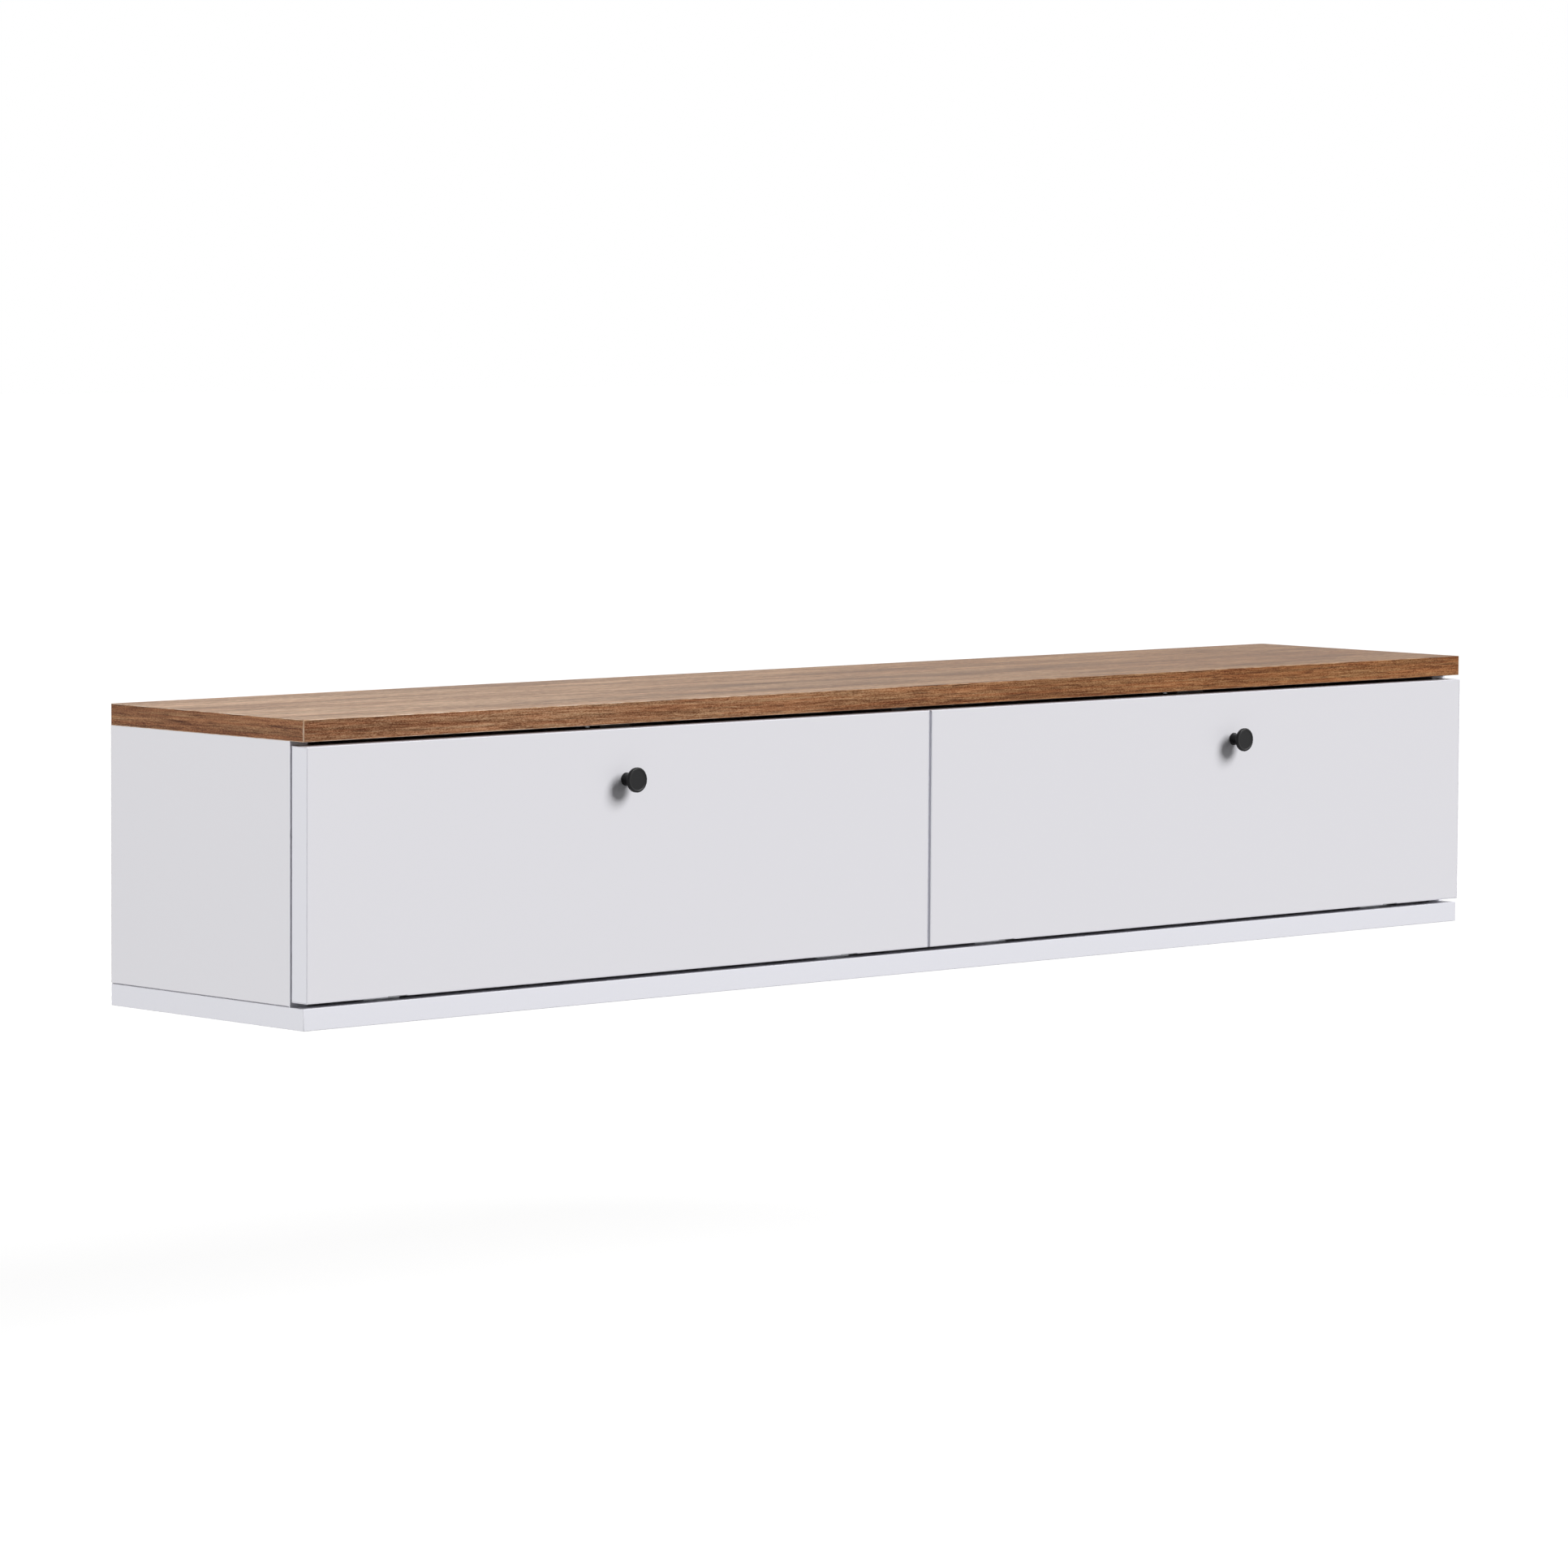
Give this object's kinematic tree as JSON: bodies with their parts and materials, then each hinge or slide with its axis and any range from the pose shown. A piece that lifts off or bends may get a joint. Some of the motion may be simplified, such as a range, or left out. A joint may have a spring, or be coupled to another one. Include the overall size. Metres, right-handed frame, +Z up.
{
  "type": "tv cabinet",
  "caption": "Low hung tv cabinet: white body, wood-grain top board, drop-down flaps on bottom hinges with slotted stays, magnetic catches and black mushroom knobs.",
  "frame": {"origin": "middle of the underside of the bottom board, half way between the board's front edge and its back edge", "axes": "+X along the cabinet, to the right as seen from the front; +Y to the wall; +Z up"},
  "size_m": [1.4, 0.2676, 0.25],
  "materials": {
    "wood_decor_board": "chipboard faced with a matt wood-grain foil, grain along the cabinet",
    "wood_decor_band": "matt wood-grain edge band",
    "white_board": "chipboard faced with satin white melamine",
    "white_band": "satin white edge band",
    "white_hardboard": "thin fibreboard with a white face",
    "beech": "plain fluted-look beech dowel",
    "zinc_steel": "bright zinc-plated steel",
    "cast_zinc": "die-cast zinc, satin",
    "white_plastic": "moulded white plastic",
    "brown_plastic": "moulded dark brown plastic",
    "magnet": "dark grey sintered magnet",
    "black_knob": "matt black powder-coated metal"
  },
  "bodies": {
    "cabinet": {"top_panel": "wood_decor_board", "top_front_band": "wood_decor_band", "top_left_band": "wood_decor_band", "top_right_band": "wood_decor_band", "bottom_panel": "white_board", "bottom_edge_bands": "white_band", "left_side_panel": "white_board", "right_side_panel": "white_board", "centre_divider": "white_board", "upright_front_bands": "white_band", "wooden_dowels": "beech", "cam_bolts": "zinc_steel", "cam_locks": "cast_zinc", "cam_caps": "white_plastic", "hinge_plate_screws": "zinc_steel", "catch_magnets": "magnet", "catch_screws": "zinc_steel", "left_back_panel": "white_hardboard", "left_wall_rail": "white_board", "left_hinge_plates": "zinc_steel", "left_inner_hinge_arm": "zinc_steel", "left_outer_hinge_arm": "zinc_steel", "left_stay_stud": "zinc_steel", "left_catch_housing": "brown_plastic", "right_back_panel": "white_hardboard", "right_wall_rail": "white_board", "right_hinge_plates": "zinc_steel", "right_inner_hinge_arm": "zinc_steel", "right_outer_hinge_arm": "zinc_steel", "right_stay_stud": "zinc_steel", "right_catch_housing": "brown_plastic"},
    "left_flap": {"left_door_panel": "white_board", "left_door_edge_bands": "white_band", "left_knob": "black_knob", "left_knob_screw": "zinc_steel", "left_inner_hinge_leaf": "cast_zinc", "left_outer_hinge_leaf": "cast_zinc", "left_hinge_pins": "zinc_steel", "left_hinge_leaf_screws": "zinc_steel", "left_stay_bracket": "zinc_steel", "left_stay_rivet": "zinc_steel", "left_bracket_screws": "zinc_steel", "left_catch_strike": "zinc_steel", "left_strike_screws": "zinc_steel"},
    "right_flap": {"right_door_panel": "white_board", "right_door_edge_bands": "white_band", "right_knob": "black_knob", "right_knob_screw": "zinc_steel", "right_inner_hinge_leaf": "cast_zinc", "right_outer_hinge_leaf": "cast_zinc", "right_hinge_pins": "zinc_steel", "right_hinge_leaf_screws": "zinc_steel", "right_stay_bracket": "zinc_steel", "right_stay_rivet": "zinc_steel", "right_bracket_screws": "zinc_steel", "right_catch_strike": "zinc_steel", "right_strike_screws": "zinc_steel"},
    "left_stay": {"left_stay_arm": "zinc_steel"},
    "right_stay": {"right_stay_arm": "zinc_steel"}
  },
  "joints": [
    {"name": "left_flap_hinge", "type": "hinge", "parent": "cabinet", "child": "left_flap", "pos_m": [-0.35013, -0.1224, 0.02525], "axis": [1, 0, 0], "range_deg": [0, 90]},
    {"name": "left_stay_pivot", "type": "hinge", "parent": "left_flap", "child": "left_stay", "pos_m": [-0.6757, -0.0961, 0.10525], "axis": [1, 0, 0], "range_deg": [-90, 0]},
    {"name": "right_flap_hinge", "type": "hinge", "parent": "cabinet", "child": "right_flap", "pos_m": [0.35013, -0.1224, 0.02525], "axis": [1, 0, 0], "range_deg": [0, 90]},
    {"name": "right_stay_pivot", "type": "hinge", "parent": "right_flap", "child": "right_stay", "pos_m": [0.6757, -0.0961, 0.10525], "axis": [1, 0, 0], "range_deg": [-90, 0]}
  ],
  "couplings": [
    {"joint": "left_stay_pivot", "follows": "left_flap_hinge", "ratio": -1},
    {"joint": "right_stay_pivot", "follows": "right_flap_hinge", "ratio": -1}
  ]
}
